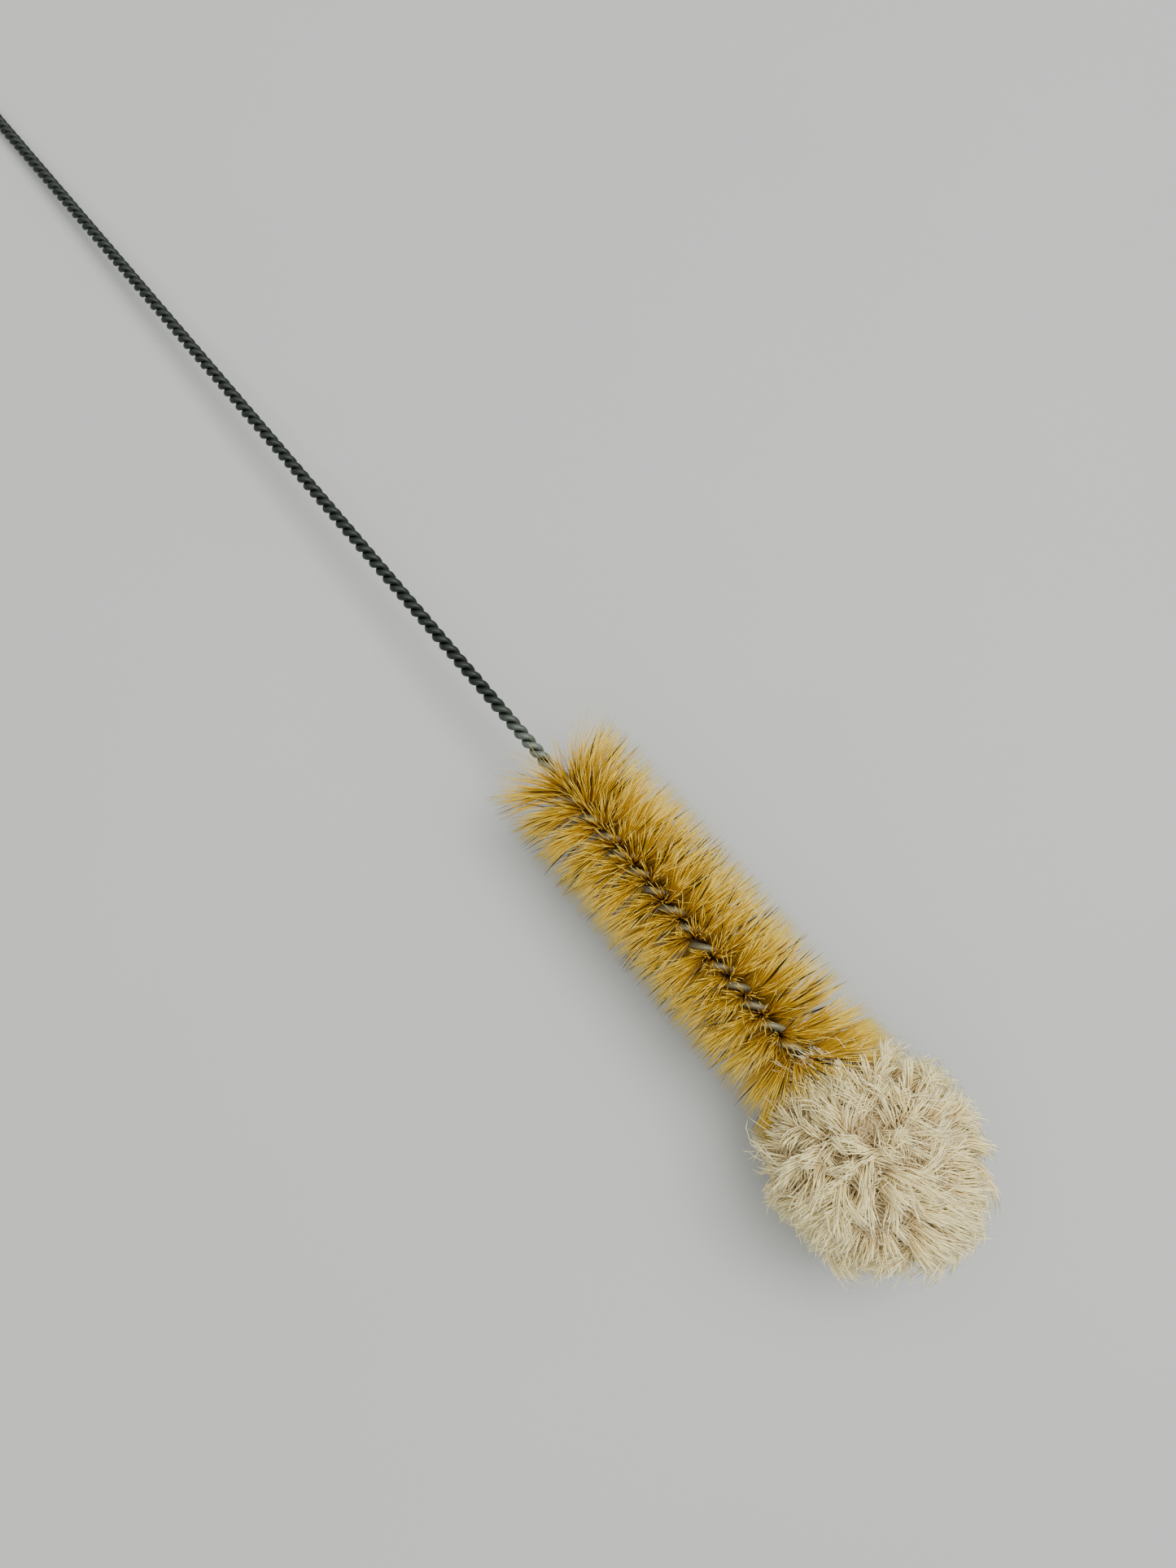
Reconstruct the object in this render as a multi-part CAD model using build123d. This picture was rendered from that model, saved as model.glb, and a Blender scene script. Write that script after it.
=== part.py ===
from build123d import *
import os
from math import acos, asin, ceil, cos, degrees, pi, radians, sin

# A bottle brush: one wire folded double and twisted left-handed, with an eye at the fold,
# two helical rows of bristles gripped between its strands, and a cotton mop at the tip.
# It is drawn along its own axis, +X from the eye to the mop, and then laid on a table.

# Driving dimensions, millimetres and degrees

# Wire
wire_diameter = 1.7
strand_clearance = 0.04
wire_sides = 5
steps_per_turn = 6

# Eye at the folded end
eye_inner_diameter = 11.0
eye_neck = 13.0
eye_step = 24.0

# Handle
handle_length = 299.0
handle_pitch_at_eye = 5.5
handle_pitch_at_brush = 6.6

# Bristles
brush_length = 103.0
brush_diameter = 40.0
brush_pitch = 12.2
bristle_layer = 0.4
bristle_layer_reach = 0.9
strand_spread = 1.6
row_fill = 0.8
back_lean = 9.0
forward_lean = 5.0
lean_run = 22.0
row_steps_per_turn = 16

# Cotton mop
mop_length = 61.0
mop_diameter = 57.0
mop_clearance = 0.6
mop_bore_clearance = 0.3
mop_wire_depth = 40.0
mop_squash = 0.6
lock_rings = 13
locks_around = 20
lock_depth = 4.2
lock_unevenness = 1.6
unevenness_along = 3.1  # radians from ring to ring
unevenness_round = 2.3  # radians from lock to lock

# Places along the axis, measured from the throat of the eye

wire_radius = wire_diameter / 2
handle_end = handle_length
root_start = handle_end + back_lean
root_end = handle_end + brush_length - forward_lean
mop_start = root_end + mop_clearance
mop_centre = mop_start + mop_length / 2
wire_tip = mop_start + mop_wire_depth

eye_radius = eye_inner_diameter / 2 + wire_radius
eye_centre = -eye_neck
eye_end = eye_centre - eye_radius

turn_step = 2 * pi / steps_per_turn
twist_radius = (wire_radius + strand_clearance / 2) / cos(turn_step / 2)
row_count = 2
row_spacing = brush_pitch / row_count


def on_axis(along, radius, angle):
    """A point at a place along the axis, a distance from it and an angle round it."""
    return Vector(along, radius * cos(angle), radius * sin(angle))


def twist_angle(along):
    """Angle of the first strand in the brush, where the twist is left-handed and even."""
    return -2 * pi * (along - handle_end) / brush_pitch


# Wire

def handle_rows():
    """Places along the handle, six to a turn, with the pitch rising towards the brush."""
    mean_pitch = (handle_pitch_at_eye + handle_pitch_at_brush) / 2
    count = round(handle_length / mean_pitch) * steps_per_turn
    rise = handle_pitch_at_brush - handle_pitch_at_eye
    for k in range(count):
        share = k / count
        along = handle_length * share * (handle_pitch_at_eye + rise * share / 2) / mean_pitch
        yield along, twist_radius, -k * turn_step


def brush_rows():
    """Places along the brush, where the strands stand apart for the bristles."""
    count = ceil((wire_tip - handle_end) / brush_pitch * steps_per_turn)
    for k in range(count + 1):
        along = handle_end + k * brush_pitch / steps_per_turn
        opened = min(1.0, (along - handle_end) / (root_start - handle_end))
        radius = twist_radius + (strand_spread - twist_radius) * opened
        yield along, radius, twist_angle(along)


def strand(side):
    """One strand from the throat of the eye to its cut end inside the mop."""
    rows = list(handle_rows()) + list(brush_rows())
    return [on_axis(along, side * radius, angle) for along, radius, angle in rows]


def eye():
    """The fold of the wire: a round eye, joined to the throat by two straight necks."""
    reach = degrees(acos(eye_radius / eye_neck))
    count = ceil((360 - 2 * reach) / eye_step)
    angles = [radians(reach + (360 - 2 * reach) * k / count) for k in range(count + 1)]
    return [Vector(eye_centre + eye_radius * cos(a), eye_radius * sin(a), 0) for a in angles]


def swept_wire(route):
    """A wire of many flats along a route of short straight runs, mitred where they meet."""
    runs = [(b - a).normalized() for a, b in zip(route, route[1:])]
    start = Plane(origin=route[0], z_dir=runs[0])
    corner = 2 * pi / wire_sides
    section = [
        start.from_local_coords((wire_radius * cos(k * corner), wire_radius * sin(k * corner)))
        for k in range(wire_sides)
    ]
    sections = [section]
    for k in range(1, len(route)):
        before = runs[k - 1]
        after = runs[min(k, len(runs) - 1)]
        mitre = (before + after).normalized()
        section = [p + before * ((route[k] - p).dot(mitre) / before.dot(mitre)) for p in section]
        sections.append(section)
    return Solid.make_loft([Wire.make_polygon(s, close=True) for s in sections], ruled=True)


def wire_stem():
    """The whole wire: out along one strand, round the eye, and back along the other."""
    return swept_wire(strand(1)[::-1] + eye() + strand(-1))


# Faceted skins

def facet(*corners):
    """A flat face, wound so that the skins below come out facing outwards."""
    return Face(Wire.make_polygon(corners[::-1], close=True))


def ribbon(edge, other, crossed=lambda k: False):
    """Triangles between two rows of points, with the diagonal of each pair chosen by crossed."""
    faces = []
    for k in range(len(edge) - 1):
        a, b, c, d = edge[k], edge[k + 1], other[k + 1], other[k]
        if crossed(k):
            faces += [facet(a, b, d), facet(b, c, d)]
        else:
            faces += [facet(a, b, c), facet(a, c, d)]
    return faces


# Bristles

def rim_place(along):
    """Where the tips stand of the bristles that are gripped at a place along the wire."""
    back = max(0.0, 1 - (along - root_start) / lean_run)
    forward = max(0.0, 1 - (root_end - along) / lean_run)
    return along - back_lean * back**2 + forward_lean * forward**2


def bristle_row(side):
    """Edges of one helical row: two thin ones between the strands and two at the rim."""
    count = round((root_end - root_start) / brush_pitch * row_steps_per_turn)
    half_angle = asin(bristle_layer / 2 / bristle_layer_reach)
    half_angle_along = half_angle / (2 * pi) * brush_pitch
    first = root_start + half_angle_along
    last = root_end - half_angle_along
    edges = [[], [], [], []]
    for k in range(count + 1):
        along = first + (last - first) * k / count
        angle = twist_angle(along) + side * pi / 2
        tips = rim_place(along)
        spread = rim_place(along + row_spacing / 2) - rim_place(along - row_spacing / 2)
        half = row_fill * spread / 2
        front = min(tips + half, handle_end + brush_length)
        back = max(tips - half, handle_end)
        edges[0].append(on_axis(along, bristle_layer_reach, angle - half_angle))
        edges[1].append(on_axis(front, brush_diameter / 2, angle))
        edges[2].append(on_axis(back, brush_diameter / 2, angle))
        edges[3].append(on_axis(along, bristle_layer_reach, angle + half_angle))
    return edges


def bristles():
    """Two rows of bristles that pass between the strands and widen towards the rim."""
    one = bristle_row(1)
    two = bristle_row(-1)
    faces = []
    for row in (one, two):
        for edge, other in zip(row, row[1:]):
            faces += ribbon(edge, other)
        for end in (0, -1):
            faces += [facet(row[0][end], row[1][end], row[2][end])]
            faces += [facet(row[0][end], row[2][end], row[3][end])]
    faces += ribbon(one[3], two[0])
    faces += ribbon(two[3], one[0])
    for end in (0, -1):
        faces += [facet(one[0][end], one[3][end], two[0][end], two[3][end])]
    return Solid(Shell(faces))


# Cotton mop

def lock_point(ring, place):
    """A point of the mop's skin: the tip of a lock, or the hollow between four of them."""
    polar = pi * ring / (lock_rings + 1)
    angle = 2 * pi * place / locks_around
    depth = lock_unevenness * sin(unevenness_along * ring + unevenness_round * place)**2
    if (ring + place) % 2:
        depth = lock_depth
    depth = depth * sin(polar)
    radius = (mop_diameter / 2 - depth) * sin(polar)
    return on_axis(mop_centre - (mop_length / 2 - depth) * cos(polar), radius, angle)


def cotton_mop():
    """A ball of cotton locks, pushed over the end of the wire."""
    bore = strand_spread + wire_radius + mop_bore_clearance
    bore_end = wire_tip + brush_pitch / steps_per_turn + mop_bore_clearance
    places = range(locks_around + 1)
    turns = [2 * pi * place / locks_around for place in places]
    bottom = [on_axis(bore_end, bore, a) for a in turns]
    mouth = [on_axis(mop_start, bore, a) for a in turns]
    rings = []
    for ring in range(1, lock_rings + 1):
        rings.append([lock_point(ring, place % locks_around) for place in places])
    faces = [facet(*bottom[:-1])]
    faces += ribbon(bottom, mouth)
    faces += ribbon(mouth, rings[0])
    for ring, (edge, other) in enumerate(zip(rings, rings[1:]), start=1):
        faces += ribbon(edge, other, lambda place: (ring + place) % 2 == 0)
    tip = on_axis(mop_start + mop_length, 0, 0)
    faces += [facet(a, b, tip) for a, b in zip(rings[-1], rings[-1][1:])]
    return Solid(Shell(faces))


# Laid on the table: the eye and the mop touch it, and the mop is pressed a little flat

rest_tilt = degrees(asin((mop_diameter / 2 - mop_squash - wire_radius) / (mop_centre - eye_end)))


def laid(solid, lift=0.0):
    """A solid drawn along its own axis, tilted to its rest and lifted onto the table."""
    return solid.rotate(Axis.Y, -rest_tilt).moved(Location((0, 0, lift)))


stem = laid(wire_stem())
lift = -stem.bounding_box().min.Z
mop = laid(cotton_mop(), lift)
under = (Align.CENTER, Align.CENTER, Align.MAX)
table = Box(2 * mop_length, 2 * mop_diameter, mop_diameter, align=under)
table = table.moved(Location((mop.center().X, 0, 0)))

pieces = {
    "wire_stem": stem.moved(Location((0, 0, lift))),
    "bristles": laid(bristles(), lift),
    "cotton_mop": mop - table,
}

# The origin is on the table under the middle of the brush

box = Compound(list(pieces.values())).bounding_box()
to_middle = Location((-box.center().X, -box.center().Y, 0))

os.makedirs("parts", exist_ok=True)
for name, piece in pieces.items():
    export_step(piece.moved(to_middle), f"parts/{name}.step")

print("tilt", round(rest_tilt, 3), "degrees; box", box.size)
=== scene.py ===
from math import asin, cos, pi, radians, sin

import bpy
import numpy as np
from mathutils import Matrix, Vector


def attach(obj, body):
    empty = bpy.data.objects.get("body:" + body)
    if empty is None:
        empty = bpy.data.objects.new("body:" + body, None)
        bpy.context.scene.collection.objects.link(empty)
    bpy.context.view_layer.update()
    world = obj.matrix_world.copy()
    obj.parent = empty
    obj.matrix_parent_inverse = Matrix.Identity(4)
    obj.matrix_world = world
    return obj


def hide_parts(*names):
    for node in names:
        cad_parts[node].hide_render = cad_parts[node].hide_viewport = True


# A bottle brush lying on a pale table: twisted wire, natural bristles and a cotton mop.
# Places are worked out along the brush's own axis, in metres from the throat of its eye,
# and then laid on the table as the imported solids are.

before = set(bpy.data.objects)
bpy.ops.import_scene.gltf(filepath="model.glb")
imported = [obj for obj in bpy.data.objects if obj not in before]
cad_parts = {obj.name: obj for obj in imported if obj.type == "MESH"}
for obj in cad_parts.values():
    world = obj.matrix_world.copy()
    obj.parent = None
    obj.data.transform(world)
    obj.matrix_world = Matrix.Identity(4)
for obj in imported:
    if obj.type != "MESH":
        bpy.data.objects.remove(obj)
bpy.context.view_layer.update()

MM = 0.001

# Wire
wire_radius = 0.95 * MM
wire_sides = 12
points_per_turn = 20
eye_points = 60
neck_points = 12
easing_rounds = 25
handle_length = 299 * MM
handle_turns = 49
handle_pitch_at_eye = 5.5 * MM
handle_pitch_at_brush = 6.6 * MM
eye_neck = 13 * MM
eye_radius = 6.35 * MM
wire_in_mop = 40 * MM
strand_spread = 1.5 * MM
fresh_start = 24 * MM  # before the brush, where the wire begins to be paler
fresh_run = 20 * MM
grip_run = 8 * MM

# Bristles
brush_length = 103 * MM
brush_radius = 20.9 * MM
rim_shift = 1.2 * MM
brush_pitch = 12.2 * MM
back_lean = 9 * MM
forward_lean = 5 * MM
lean_run = 22 * MM
back_lean_shares = (0.7, 1.05)  # how unevenly the bristles lean back
flare = 8 * MM
roots_past_end = 2.5 * MM
rim_fan = 3.9 * MM
length_spread = 0.22 * MM
turn_spread = 0.18  # radians
bristle_bow = 0.32 * MM
bristle_root = 0.4 * MM  # distance of the roots from the axis
loose_share = 0.07
looseness = 1.9
tuft_run = 0.7 * MM  # along the wire, for each tuft of bristles that lean together
tuft_lean = 0.3 * MM
tuft_turn = 0.05  # radians
bristle_radius = 0.128 * MM
dark_thickness = 1.8
bristle_points = 4
stray_points = 5
bristles_per_piece = 3400
dark_bristles = 450
stray_bristles = 70
stray_run = 4 * MM
stray_bow = 0.9 * MM
end_bow = 0.6 * MM
hair_sides = 3

# Cotton mop
mop_gap = 0.6 * MM
mop_length = 61 * MM
wad_radius = 25.7 * MM
wad_place = Vector((-3.2, -2.8, -0.5)) * MM
wad_shape = np.array([1.06, 0.96, 1.06])
wad_locks = 48
lining_fibres = 3200
yarns_per_piece = 340
yarn_pieces = 3
fibres_per_yarn = 19
fibre_points = 5
fibre_radius = 0.19 * MM
stray_fibres = 120
pressed_layer = 0.6 * MM
table_gap = 0.02 * MM

# Cotton mop, in radii of its wad
core_radius = 0.78
core_lumps = 0.025
yarn_root = 0.62
yarn_bend = 0.97
shortest_lock, longest_lock = -0.12, 0.06
yarn_length_spread = 0.025
pile_rise = 0.04
hollow_depth = 0.15
spread_at_root = 0.045
spread_at_tip = 0.07
fibre_wave = 0.006
lining_roots = (0.79, 0.84)
lining_tips = (0.82, 0.92)
lining_bow = 0.02
stray_root = 0.85
stray_tips = (1.06, 1.17)
stray_fibre_bow = 0.05

# Cotton mop, in radians round its wad
crown_width = 0.6
hollow_width = 0.34
hollow_floor_width = 0.22
pile_width = 0.45
yarn_sweep = (0.25, 0.65)
lining_sweep = (0.15, 0.35)
stray_sweep = (0.1, 0.45)

# How strongly other things turn the yarns from their way out of the crown
hollow_pull = 1.9
lock_pull = 0.5
crown_tangle = 1.8
yarn_tangle = 0.2

# Camera, solved from the even spacing of the twist in the photograph
camera_place = Vector((147.9, -41.3, 320.0)) * MM
camera_azimuth = radians(50.65)
camera_elevation = radians(76.38)
picture_size = (1445, 1927)
focal_pixels = 1456
sensor_long_side = 36.0

rng = np.random.default_rng(20)

root_start = handle_length + back_lean
root_end = handle_length + brush_length - forward_lean
last_root = root_end + roots_past_end
mop_start = root_end + mop_gap
mop_centre = mop_start + mop_length / 2
wire_tip = mop_start + wire_in_mop
wad_middle = np.array([mop_centre, 0, 0]) + np.array(wad_place)
eye_centre = -eye_neck

# How the brush lies: on its eye and its mop, with the origin under its middle
rest_tilt = radians(3.466)
lift = 2.13 * MM
middle = 218.8 * MM


def laid(points):
    """Points along the brush's own axis, laid on the table in the shared frame."""
    x, y, z = np.moveaxis(np.asarray(points), -1, 0)
    across = x * cos(rest_tilt) - z * sin(rest_tilt) - middle
    up = x * sin(rest_tilt) + z * cos(rest_tilt) + lift
    return np.stack([across, y, up], axis=-1)


def around(along, radius, angle):
    """Points at places along the axis, distances from it and angles round it."""
    along, radius, angle = np.broadcast_arrays(along, radius, angle)
    return np.stack([along, radius * np.cos(angle), radius * np.sin(angle)], axis=-1)


def twist_angle(along):
    """Angle of the first strand in the brush, where the twist is left-handed and even."""
    return -2 * pi * (along - handle_length) / brush_pitch


# Meshes

def unit(vectors):
    """The vectors at a length of one."""
    return vectors / np.linalg.norm(vectors, axis=-1, keepdims=True)


def make_mesh(name, vertices, quads, others, attributes):
    """An object from vertices, quads, faces of another size, and one number per vertex."""
    counts = np.array([4] * len(quads) + [len(face) for face in others], np.int32)
    loops = np.concatenate([np.ravel(quads), *others]).astype(np.int32)
    return place_mesh(name, vertices, loops, counts, attributes)


def place_mesh(name, vertices, loops, counts, attributes):
    """An object from vertices and the corners of all its faces, one face after the other."""
    mesh = bpy.data.meshes.new(name)
    mesh.vertices.add(len(vertices))
    mesh.vertices.foreach_set("co", np.ravel(vertices).astype(np.float32))
    mesh.loops.add(len(loops))
    mesh.loops.foreach_set("vertex_index", loops)
    mesh.polygons.add(len(counts))
    mesh.polygons.foreach_set("loop_start", np.cumsum(counts) - counts)
    mesh.polygons.foreach_set("loop_total", counts)
    mesh.polygons.foreach_set("use_smooth", np.ones(len(counts), bool))
    for key, values in attributes.items():
        layer = mesh.attributes.new(key, "FLOAT", "POINT")
        layer.data.foreach_set("value", np.ravel(values).astype(np.float32))
    mesh.update(calc_edges=True)
    mesh.validate()
    piece = bpy.data.objects.new(name, mesh)
    bpy.context.scene.collection.objects.link(piece)
    return piece


def tube_quads(rings, sides):
    """The faces of a tube of so many rings, each with so many points."""
    ring = np.arange(rings - 1)[:, None] * sides
    place = np.arange(sides)
    after = (place + 1) % sides
    corners = [ring + place, ring + after, ring + sides + after, ring + sides + place]
    return np.stack(corners, axis=-1).reshape(-1, 4)


def tube_ends(rings, sides):
    """The two faces that close such a tube."""
    place = np.arange(sides)
    return [place[::-1], (rings - 1) * sides + place]


def ring_of(first, second, sides):
    """Directions round a ring that two directions span."""
    corners = np.arange(sides)[:, None] * 2 * pi / sides
    return first * np.cos(corners) + second * np.sin(corners)


def hairs(name, paths, radii, shade):
    """Many thin tapered tubes, one for each path, closed at the root and pointed at the tip.

    paths holds the points of each hair, radii the radius at each point but the last, and
    shade one number for each hair.
    """
    sides = hair_sides
    count, points, _ = paths.shape
    rings = points - 1
    along = np.gradient(paths, axis=1)
    reference = unit(rng.normal(size=(count, 1, 3)))
    first = unit(np.cross(along, reference))
    second = unit(np.cross(along, first))
    radii = np.broadcast_to(radii, (count, rings))[:, :, None, None]
    out = ring_of(first[:, :rings, None], second[:, :rings, None], sides)
    skin = paths[:, :rings, None] + radii * out
    per_hair = rings * sides + 1
    vertices = np.concatenate([skin.reshape(count, rings * sides, 3), paths[:, -1:]], axis=1)
    quads = tube_quads(rings, sides)
    cap, rim = tube_ends(rings, sides)
    tips = np.stack([rim, np.roll(rim, -1), np.full(sides, rings * sides)], axis=-1)
    loops = np.concatenate([quads.ravel(), tips.ravel(), cap])
    loops = np.arange(count)[:, None] * per_hair + loops
    sizes = np.concatenate([np.full(len(quads), 4), np.full(sides, 3), [sides]])
    share = np.append(np.repeat(np.linspace(0, 1, points)[:rings], sides), 1.0)
    return place_mesh(
        name,
        vertices.reshape(-1, 3),
        loops.ravel().astype(np.int32),
        np.tile(sizes, count).astype(np.int32),
        {"along": np.tile(share, count), "shade": np.repeat(shade, per_hair)})


def lift_off(piece):
    """Moves the lowest points of a piece up onto the table."""
    for vertex in piece.data.vertices:
        vertex.co.z = max(vertex.co.z, table_gap)


# Wire

def strand(side):
    """One strand's middle line, from the throat of the eye to its cut end inside the mop."""
    share = np.linspace(0, 1, handle_turns * points_per_turn, endpoint=False)
    rise = handle_pitch_at_brush - handle_pitch_at_eye
    mean_pitch = (handle_pitch_at_eye + handle_pitch_at_brush) / 2
    along = handle_length * share * (handle_pitch_at_eye + rise * share / 2) / mean_pitch
    handle = around(along, side * wire_radius, -2 * pi * handle_turns * share)
    along = np.arange(handle_length, wire_tip, brush_pitch / points_per_turn)
    opened = np.clip((along - handle_length) / (root_start - handle_length), 0, 1)
    radius = wire_radius + (strand_spread - wire_radius) * opened
    return np.concatenate([handle, around(along, side * radius, twist_angle(along))])


def eye():
    """The fold of the wire, as a round eye."""
    reach = pi / 2 - asin(eye_radius / eye_neck)
    angles = np.linspace(reach, 2 * pi - reach, eye_points)
    points = [[eye_centre + eye_radius * cos(a), eye_radius * sin(a), 0] for a in angles]
    start = np.array([0, wire_radius, 0])
    neck = np.linspace(start, points[0], neck_points, endpoint=False)[1:]
    return np.concatenate([neck, points, (neck * [1, -1, 1])[::-1]])


def eased(route, first, last, rounds):
    """The route with its corners between two places worn round."""
    route = route.copy()
    for _ in range(rounds):
        before, after = route[first - 1:last - 1], route[first + 1:last + 1]
        route[first:last] = (before + 2 * route[first:last] + after) / 4
    return route


def wire_piece():
    """The whole folded wire as one round tube, carried along its route without twisting."""
    out = strand(1)[::-1]
    fold = eye()
    route = np.concatenate([out, fold, strand(-1)])
    first, last = len(out) - neck_points, len(out) + len(fold) + neck_points
    route = eased(route, first, last, easing_rounds)
    tangents = unit(np.gradient(route, axis=0))
    side = unit(np.cross(tangents[0], [0, 0, 1.0]))
    sides = []
    for tangent in tangents:
        side = unit(side - tangent * np.dot(side, tangent))
        sides.append(side)
    sides = np.array(sides)[:, None]
    ups = np.cross(tangents[:, None], sides)
    skin = route[:, None] + wire_radius * ring_of(sides, ups, wire_sides)
    quads = tube_quads(len(route), wire_sides)
    caps = tube_ends(len(route), wire_sides)
    past_handle = route[:, 0] - handle_length
    bright = np.clip((past_handle + fresh_start) / fresh_run, 0, 1)**1.5
    gripped = np.clip(past_handle / grip_run, 0, 1)
    # How far the skin stands from the wire's axis, which the material uses to paint shade into the
    # grooves of the twist
    depth = np.linalg.norm(skin[..., 1:], axis=-1) / (2 * wire_radius)
    attributes = {
        "bright": np.repeat(bright, wire_sides),
        "gripped": np.repeat(gripped, wire_sides),
        "proud": np.clip(depth, 0, 1),
    }
    return make_mesh("wire", laid(skin.reshape(-1, 3)), quads, caps, attributes)


# Bristles

def rim_place(along):
    """Where the tips stand of the bristles that are gripped at a place along the wire."""
    back = np.clip(1 - (along - root_start) / lean_run, 0, None)
    forward = np.clip(1 - (last_root - along) / lean_run, 0, None)
    uneven = rng.uniform(*back_lean_shares, len(along))
    return along - back_lean * uneven * back**2 + (forward_lean + flare) * forward**3


def bent(root, tip, points, bend):
    """Gently curved paths from roots to tips."""
    share = np.linspace(0, 1, points)[:, None]
    bow = rng.normal(0, bend, (len(root), 1, 3))
    return root[:, None] + (tip - root)[:, None] * share + bow * 4 * share * (1 - share)


def bristle_paths(count):
    """Bristles gripped at random places along both rows, gathered into small tufts."""
    along = rng.uniform(root_start, last_root, count)
    side = rng.choice([-1, 1], count)
    tuft = (along / tuft_run).astype(int) * 2 + (side > 0)
    tuft -= tuft.min()
    lean = rng.normal(0, tuft_lean, tuft.max() + 1)[tuft]
    turn = rng.normal(0, tuft_turn, tuft.max() + 1)[tuft]
    loose = np.where(rng.random(count) < loose_share, looseness, 1.0)
    turn += rng.normal(0, turn_spread, count) * loose
    gripped = twist_angle(along) + side * pi / 2
    reach = brush_radius + rng.normal(0, length_spread, count)
    lean += rng.uniform(-rim_fan, rim_fan, count) * loose
    tip = around(rim_place(along) + lean, reach, gripped + turn) + [0, rim_shift, 0]
    root = around(along, bristle_root, gripped)
    return bent(root, tip, bristle_points, bristle_bow)


def stray_paths(count):
    """A few long thin bristles that point back over the handle."""
    along = rng.uniform(root_start, root_start + stray_run, count)
    angle = rng.uniform(0, 2 * pi, count)
    root = around(along, 0.5 * MM, angle)
    tips = handle_length - rng.uniform(-2, 6, count) * MM
    reach = rng.uniform(12, 20.5, count) * MM
    return bent(root, around(tips, reach, angle), stray_points, stray_bow)


def end_tufts():
    """Bristles of the last rows that the cotton has pushed out to both sides."""
    tufts = []
    # How many, where round the wire and how far to each side in degrees, and how far past
    # the end of the rows the nearest and the farthest tips stand, in millimetres
    for count, side, half_width, nearest, farthest in (
            (260, 14, 17, 4, 11.5),
            (130, 188, 9, 6, 12.5)):
        angle = radians(side) + radians(half_width) * rng.uniform(-1, 1, count)
        root = around(last_root - rng.uniform(0, 2, count) * MM, 0.6 * MM, angle)
        tips = root_end + rng.uniform(nearest, farthest, count) * MM
        reach = brush_radius + rng.normal(0, 0.7 * MM, count)
        tufts.append(bent(root, around(tips, reach, angle), bristle_points, end_bow))
    return np.concatenate(tufts)


def bristle_pieces():
    """All the bristles, as five pieces."""
    pieces = []
    radii = bristle_radius * np.array([1.0, 0.95, 0.8])
    for name in ("bristles_near", "bristles_far"):
        paths = laid(bristle_paths(bristles_per_piece))
        pieces.append(hairs(name, paths, radii, rng.random(bristles_per_piece)))
    paths = laid(bristle_paths(dark_bristles))
    pieces.append(hairs("bristles_dark", paths, dark_thickness * radii, rng.random(dark_bristles)))
    paths = laid(end_tufts())
    pieces.append(hairs("bristles_end", paths, radii, 0.9 * rng.random(len(paths))))
    paths = laid(stray_paths(stray_bristles))
    thin = bristle_radius * np.linspace(0.9, 0.5, stray_points - 1)
    pieces.append(hairs("bristles_stray", paths, thin, rng.random(stray_bristles)))
    for piece in pieces:
        lift_off(piece)
    return pieces


# Cotton mop

def facing(along, across, up):
    """A direction from the middle of the mop."""
    return Vector((along, across, up)).normalized()


crown = facing(-0.40, -0.02, 0.92)  # where the yarns part on the side that faces the camera
hollow = facing(0.31, -0.44, 0.80)  # a gap lower down, with the yarns' roots showing
pile = facing(-0.66, 0.22, 0.62)  # short cut yarns beside the bristles

# Locks of yarns that lean and reach alike
lock_places = unit(rng.normal(size=(wad_locks, 3)))
lock_reach = rng.uniform(shortest_lock, longest_lock, wad_locks)
lock_flow = rng.normal(0, lock_pull, (wad_locks, 3))


def nearness(directions, place, width):
    """How near directions are to a place on the ball, from 0 far away to 1 on it."""
    cosine = np.clip(directions @ np.array(place), -1, 1)
    return np.exp(-(np.arccos(cosine) / width)**2)


def away_from(directions, place):
    """The way along the ball's skin that leads away from a place on it."""
    outward = directions * (directions @ np.array(place))[:, None] - np.array(place)
    return outward / np.maximum(np.linalg.norm(outward, axis=-1, keepdims=True), 1e-6)


def yarns(count, start):
    """Guides of the yarns: root, bend and tip, in ball radii from the middle of the wad."""
    total = yarn_pieces * yarns_per_piece
    order = start + np.arange(count) + 0.5
    up = 1 - 2 * order / total
    angle = order * pi * (3 - 5**0.5)
    out = around(up, np.sqrt(1 - up**2), angle)  # evenly over the ball, by the golden angle
    out = unit(out + rng.normal(0, 0.05, out.shape))
    on_crown = nearness(out, crown, crown_width)
    in_hollow = nearness(out, hollow, hollow_width)
    on_pile = nearness(out, pile, pile_width)
    flow = away_from(out, crown) + hollow_pull * in_hollow[:, None] * away_from(out, hollow)
    lock = np.argmax(out @ lock_places.T, axis=1)
    flow += lock_flow[lock] + rng.normal(0, yarn_tangle, flow.shape)
    flow += crown_tangle * on_crown[:, None] * rng.normal(0, 1, flow.shape)
    flow = unit(flow - out * np.sum(flow * out, axis=-1, keepdims=True))
    sweep = rng.uniform(*yarn_sweep, count) * (1 - 0.3 * on_crown) * (1 - 0.5 * on_pile)
    reach = 1 + lock_reach[lock] + rng.normal(0, yarn_length_spread, count)
    reach += pile_rise * on_pile - hollow_depth * nearness(out, hollow, hollow_floor_width)
    tip = unit(out + flow * sweep[:, None]) * reach[:, None]
    bend = out * (yarn_bend * reach)[:, None] + flow * (0.35 * sweep)[:, None]
    return out * yarn_root, bend, tip


def on_wad(points):
    """Points given in radii of the wad, along the brush's own axis."""
    return points * wad_radius * wad_shape + wad_middle


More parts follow.
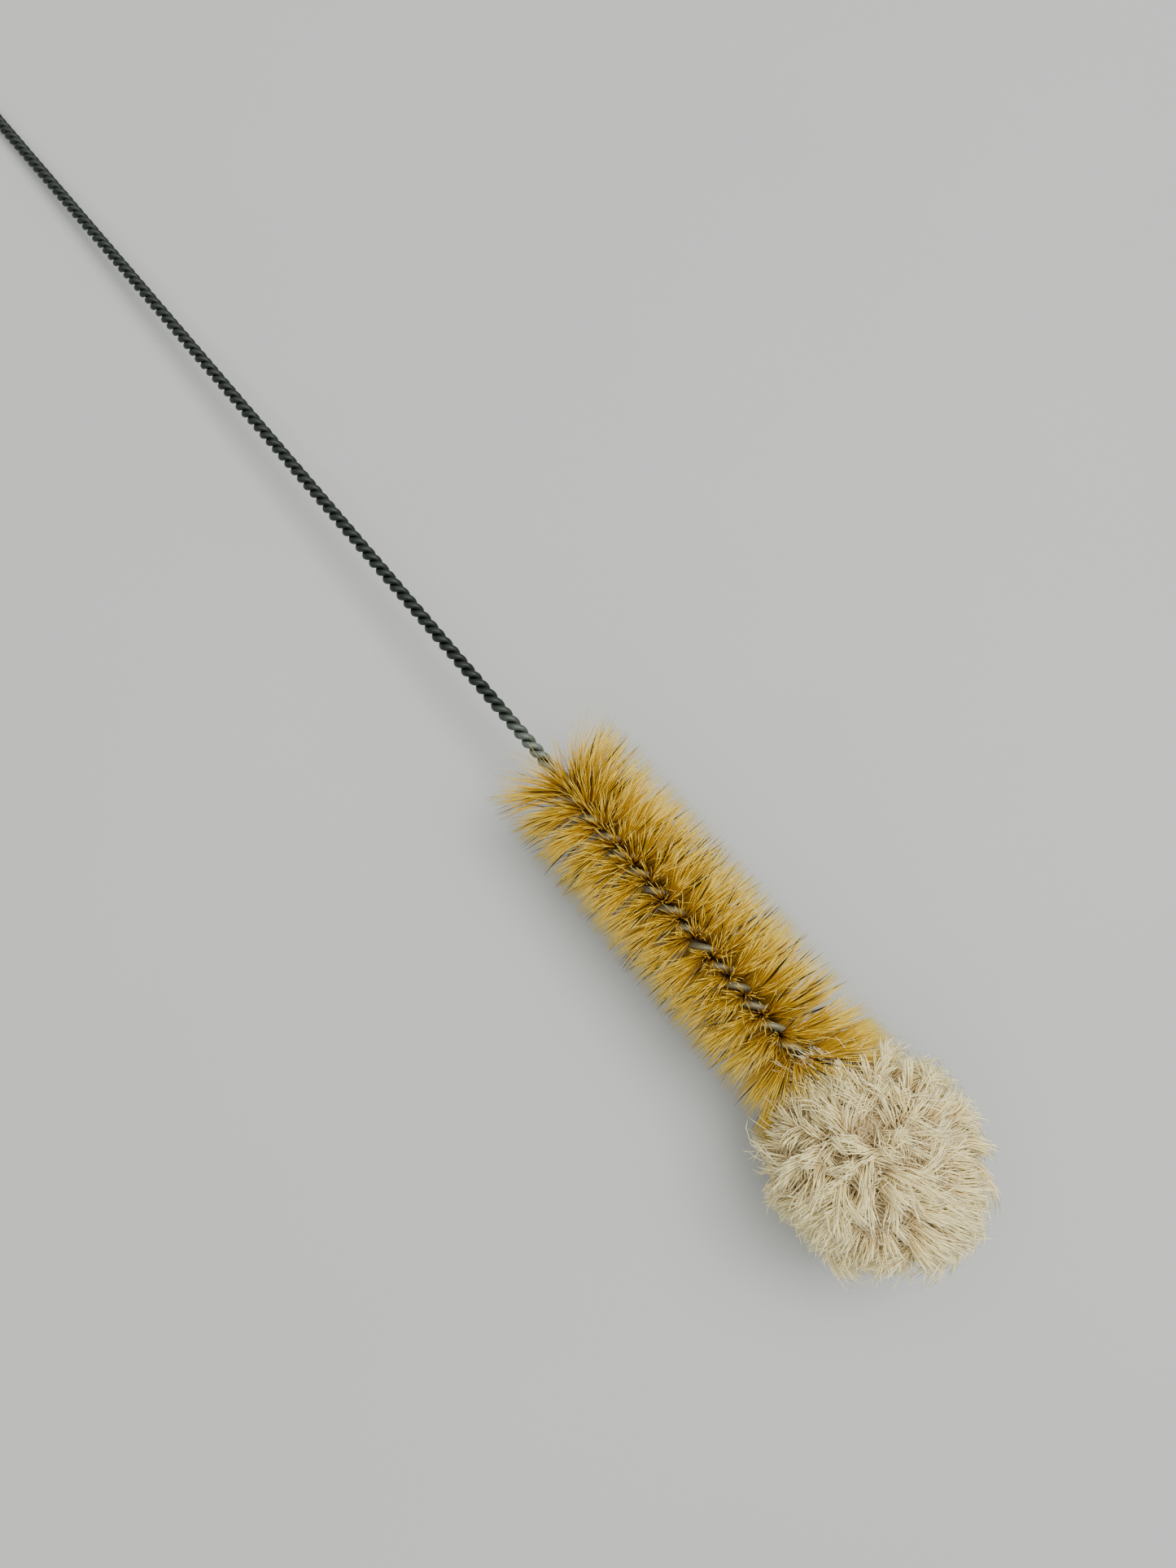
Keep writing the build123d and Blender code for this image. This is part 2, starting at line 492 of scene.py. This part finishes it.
def fibre_paths(count, start):
    """The fibres of every yarn: together at its root and splayed at the skin of the wad."""
    guides = yarns(count, start)
    root, bend, tip = (np.repeat(part, fibres_per_yarn, axis=0)[:, None] for part in guides)
    total = len(root)
    share = np.linspace(0.2, 1, fibre_points)[:, None] * rng.normal(1.0, 0.08, (total, 1, 1))
    line = root * (1 - share)**2 + 2 * bend * share * (1 - share) + tip * share**2
    side = unit(rng.normal(size=(total, 1, 3)))
    spread = np.sqrt(rng.random((total, 1, 1))) * (spread_at_root + spread_at_tip * share**2)
    wave = rng.normal(0, fibre_wave, (total, fibre_points, 3))
    return on_wad(line + side * spread + wave)


def lining_paths():
    """Fibres that lie every way on the middle of the wad, and show in its gaps."""
    out = unit(rng.normal(size=(lining_fibres, 3)))
    flow = unit(np.cross(out, rng.normal(size=out.shape)))
    flow *= rng.uniform(*lining_sweep, (lining_fibres, 1))
    root = unit(out - flow) * rng.uniform(*lining_roots, (lining_fibres, 1))
    tip = unit(out + flow) * rng.uniform(*lining_tips, (lining_fibres, 1))
    return on_wad(bent(root, tip, fibre_points, lining_bow))


def stray_fibre_paths():
    """Loose ends that stand off the wad, some of them gathered at three places."""
    out = unit(rng.normal(size=(stray_fibres, 3)))
    for first, last, place in (
            (0, 18, (-0.62, -0.78, 0.05)),
            (18, 34, (0.93, -0.42, 0.05)),
            (34, 44, (-0.8, 0.6, 0.1))):
        out[first:last] = unit(np.array(place) + rng.normal(0, 0.13, (last - first, 3)))
    flow = unit(np.cross(out, rng.normal(size=out.shape)))
    root = out * stray_root
    tip = unit(out + flow * rng.uniform(*stray_sweep, (stray_fibres, 1)))
    tip *= rng.uniform(*stray_tips, (stray_fibres, 1))
    return on_wad(bent(root, tip, fibre_points, stray_fibre_bow))


def rested(points):
    """Points of the mop, pressed flat where they would sink into the table."""
    points = points.copy()
    low = points[..., 2] < pressed_layer
    points[..., 2][low] = rng.uniform(0.45, 1, low.sum()) * pressed_layer
    return points


def mop_core():
    """The dense middle of the mop, lumpy as packed yarn is."""
    rings, segments = 40, 64
    polar = np.linspace(0.02, pi - 0.02, rings)[:, None]
    angle = np.linspace(0, 2 * pi, segments, endpoint=False)
    lumps = np.sin(5 * angle + 3 * np.sin(4 * polar)) * np.sin(6 * polar + 2 * np.sin(3 * angle))
    ball = around(-np.cos(polar), np.sin(polar), angle)
    skin = on_wad((ball * (core_radius + core_lumps * lumps)[..., None]).reshape(-1, 3))
    quads = tube_quads(rings, segments)
    return make_mesh("mop_core", rested(laid(skin)), quads, tube_ends(rings, segments), {})


def mop_pieces():
    """The whole mop: its core, three pieces of yarns, the lining and the loose ends."""
    radii = fibre_radius * np.linspace(1.0, 0.65, fibre_points - 1)
    pieces = [mop_core()]
    for number, name in enumerate(("mop_yarn_tip", "mop_yarn_middle", "mop_yarn_neck")):
        paths = rested(laid(fibre_paths(yarns_per_piece, number * yarns_per_piece)))
        shade = np.repeat(rng.random(yarns_per_piece), fibres_per_yarn)
        shade = (shade + rng.random(len(shade))) / 2
        pieces.append(hairs(name, paths, radii, shade))
    paths = rested(laid(lining_paths()))
    pieces.append(hairs("mop_lining", paths, radii, rng.random(lining_fibres)))
    paths = rested(laid(stray_fibre_paths()))
    pieces.append(hairs("mop_strays", paths, radii * 0.7, rng.random(stray_fibres)))
    for piece in pieces:
        lift_off(piece)
    return pieces


# Materials

def new_material(name):
    """A material with its nodes, its links and its shader."""
    material = bpy.data.materials.new(name)
    material.use_nodes = True
    nodes = material.node_tree.nodes
    return material, nodes, material.node_tree.links, nodes["Principled BSDF"]


def attribute(nodes, name):
    """A number that the mesh carries at each of its vertices."""
    node = nodes.new("ShaderNodeAttribute")
    node.attribute_name = name
    return node.outputs["Fac"]


def ramp(nodes, links, source, stops):
    """Colours along a number from 0 to 1."""
    node = nodes.new("ShaderNodeValToRGB")
    elements = node.color_ramp.elements
    while len(elements) < len(stops):
        elements.new(0.5)
    for element, (place, colour) in zip(elements, stops):
        element.position = place
        element.color = (*colour, 1)
    links.new(source, node.inputs["Fac"])
    return node.outputs["Color"]


def mixed(nodes, links, factor, first, second, kind="MIX"):
    """Two colours mixed by a number or an output. Colours may be outputs or plain colours."""
    node = nodes.new("ShaderNodeMix")
    node.data_type = "RGBA"
    node.blend_type = kind
    sockets = {"Factor": node.inputs[0], "A": node.inputs[6], "B": node.inputs[7]}
    for key, value in (("Factor", factor), ("A", first), ("B", second)):
        if isinstance(value, bpy.types.NodeSocket):
            links.new(value, sockets[key])
        elif key == "Factor":
            sockets[key].default_value = value
        else:
            sockets[key].default_value = (*value, 1)
    return node.outputs[2]


def noise(nodes, links, scale, detail=3.0):
    """Fine variation in the object's own space, at so many waves to a metre."""
    place = nodes.new("ShaderNodeTexCoord")
    texture = nodes.new("ShaderNodeTexNoise")
    texture.inputs["Scale"].default_value = scale
    texture.inputs["Detail"].default_value = detail
    links.new(place.outputs["Object"], texture.inputs["Vector"])
    return texture.outputs["Fac"]


def wire_material():
    """Dull galvanised steel, with painted shade darkening the grooves of the twist, and paler next
    to the brush.
    """
    material, nodes, links, shader = new_material("galvanised_wire")
    patina = ramp(
        nodes, links, noise(nodes, links, 700),
        [(0.35, (0.009, 0.013, 0.0105)), (0.7, (0.017, 0.0235, 0.019))])
    fresh = ramp(
        nodes, links, noise(nodes, links, 900),
        [(0.3, (0.09, 0.108, 0.085)), (0.7, (0.155, 0.182, 0.146))])
    # Painted shade: the skin on the side facing the wire's axis, in the grooves between the two
    # strands, is darkened to a tenth
    painted_groove_shade = ramp(
        nodes, links, attribute(nodes, "proud"),
        [(0.25, (0.1, 0.1, 0.09)), (0.85, (1, 1, 1))])
    colour = mixed(nodes, links, attribute(nodes, "bright"), patina, fresh)
    colour = mixed(nodes, links, attribute(nodes, "gripped"), colour, (0.24, 0.215, 0.12))
    links.new(mixed(nodes, links, 1.0, colour, painted_groove_shade, "MULTIPLY"), shader.inputs["Base Color"])
    shader.inputs["Metallic"].default_value = 0.3
    shader.inputs["Roughness"].default_value = 0.45
    shader.inputs["Specular IOR Level"].default_value = 0.35
    bump = nodes.new("ShaderNodeBump")
    bump.inputs["Strength"].default_value = 0.25
    bump.inputs["Distance"].default_value = 0.05 * MM
    links.new(noise(nodes, links, 2500, detail=4.0), bump.inputs["Height"])
    links.new(bump.outputs["Normal"], shader.inputs["Normal"])
    return material


def bristle_material(name, stops, darker):
    """A bristle: pale at its tip and amber towards the wire, where the darkening is partly its own
    colour and partly painted shade of the packed middle of the brush; each one a little different.
    """
    material, nodes, links, shader = new_material(name)
    colour = ramp(nodes, links, attribute(nodes, "along"), stops)
    tint = ramp(nodes, links, attribute(nodes, "shade"), [(0.0, darker), (1.0, (1, 1, 1))])
    links.new(mixed(nodes, links, 1.0, colour, tint, "MULTIPLY"), shader.inputs["Base Color"])
    shader.inputs["Roughness"].default_value = 0.4
    return material


def cotton_material(name, low, high):
    """Matt cotton, with a faint sheen of loose fibres, and painted shade that turns it tan towards
    the roots of the fibres.
    """
    material, nodes, links, shader = new_material(name)
    along = ramp(nodes, links, attribute(nodes, "along"), [(0.0, low), (0.6, high)])
    tint = ramp(
        nodes, links, attribute(nodes, "shade"),
        [(0.0, (0.93, 0.88, 0.76)), (1.0, (1, 1, 1))])
    links.new(mixed(nodes, links, 1.0, along, tint, "MULTIPLY"), shader.inputs["Base Color"])
    shader.inputs["Roughness"].default_value = 0.9
    shader.inputs["Sheen Weight"].default_value = 0.3
    return material


def core_material():
    """Packed cotton, in the shade of the yarns over it."""
    material, nodes, links, shader = new_material("cotton_core")
    colour = ramp(
        nodes, links, noise(nodes, links, 300),
        [(0.3, (0.34, 0.25, 0.1)), (0.7, (0.5, 0.38, 0.18))])
    links.new(colour, shader.inputs["Base Color"])
    shader.inputs["Roughness"].default_value = 1.0
    return material


def table_material():
    """A pale grey table top with the faintest mottling."""
    material, nodes, links, shader = new_material("table_top")
    colour = ramp(
        nodes, links, noise(nodes, links, 6),
        [(0.3, (0.375, 0.388, 0.37)), (0.7, (0.395, 0.408, 0.39))])
    links.new(colour, shader.inputs["Base Color"])
    shader.inputs["Roughness"].default_value = 0.6
    return material


# The brush

wire = wire_piece()
wire.data.materials.append(wire_material())
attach(wire, "root")
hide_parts("wire_stem")

# The dark amber at the roots is partly the bristles' own colour and partly painted shade of the
# packed middle of the brush
pale = bristle_material(
    "pale_bristle",
    [
        (0.0, (0.3, 0.13, 0.006)),
        (0.2, (0.7, 0.41, 0.012)),
        (0.7, (0.83, 0.57, 0.026)),
        (1.0, (0.88, 0.72, 0.14)),
    ],
    (0.86, 0.76, 0.5))
dark = bristle_material(
    "dark_bristle",
    [
        (0.0, (0.25, 0.12, 0.03)),
        (0.4, (0.4, 0.2, 0.03)),
        (0.52, (0.008, 0.005, 0.004)),
        (0.95, (0.01, 0.006, 0.004)),
    ],
    (0.6, 0.5, 0.4))
for piece in bristle_pieces():
    piece.data.materials.append(dark if piece.name == "bristles_dark" else pale)
    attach(piece, "root")
    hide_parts("bristles")

# The tan at the yarns' roots is painted shade between the fibres; their cream tips are the
# cotton's own colour
cotton = cotton_material("cotton_yarn", (0.66, 0.42, 0.1), (1.0, 0.9, 0.48))
# The lining's darker tan is painted shade in the gaps and hollows of the wad, where it shows
lining = cotton_material("cotton_lining", (0.5, 0.37, 0.15), (0.66, 0.53, 0.27))
mop_materials = {"mop_core": core_material(), "mop_lining": lining}
for piece in mop_pieces():
    piece.data.materials.append(mop_materials.get(piece.name, cotton))
    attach(piece, "root")
    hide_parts("cotton_mop")


# Table, lights and camera

def stage_floor():
    """A wide flat table top under the brush."""
    half = 6.0
    vertices = [(-half, -half, 0), (half, -half, 0), (half, half, 0), (-half, half, 0)]
    floor = make_mesh("table_top", vertices, np.array([[0, 1, 2, 3]]), [], {})
    floor.data.materials.append(table_material())


def area_light(name, place, size, power):
    """A square lamp that faces the brush."""
    light = bpy.data.lights.new(name, "AREA")
    light.size = size
    light.energy = power
    lamp = bpy.data.objects.new(name, light)
    bpy.context.scene.collection.objects.link(lamp)
    lamp.location = place
    lamp.rotation_euler = (-Vector(place)).to_track_quat("-Z", "Y").to_euler()


def overhead_light():
    """A very broad soft light from straight above, even over the whole table."""
    light = bpy.data.lights.new("overhead", "SUN")
    light.angle = radians(80)
    light.energy = 2.7
    lamp = bpy.data.objects.new("overhead", light)
    bpy.context.scene.collection.objects.link(lamp)
    lamp.location = (0, 0, 2)


def sky(strength):
    """An even light from all round."""
    world = bpy.data.worlds.new("studio")
    world.use_nodes = True
    background = world.node_tree.nodes["Background"]
    background.inputs["Color"].default_value = (1.0, 1.0, 0.985, 1)
    background.inputs["Strength"].default_value = strength
    bpy.context.scene.world = world


def photo_camera():
    """The photograph's camera, looking almost straight down."""
    flat = Vector((-sin(camera_azimuth), cos(camera_azimuth), 0))
    forward = cos(camera_elevation) * flat - Vector((0, 0, sin(camera_elevation)))
    right = Vector((cos(camera_azimuth), sin(camera_azimuth), 0))
    up = right.cross(forward)
    data = bpy.data.cameras.new("camera")
    data.sensor_fit = "VERTICAL"
    data.sensor_height = sensor_long_side
    data.lens = focal_pixels / picture_size[1] * sensor_long_side
    data.clip_start = 0.01
    camera = bpy.data.objects.new("camera", data)
    bpy.context.scene.collection.objects.link(camera)
    turn = Matrix((right, up, -forward)).transposed().to_4x4()
    camera.matrix_world = Matrix.Translation(camera_place) @ turn
    bpy.context.scene.camera = camera


stage_floor()
area_light("key", place=(0.25, 0.5, 1.35), size=0.8, power=15)
overhead_light()
sky(strength=0.52)
photo_camera()
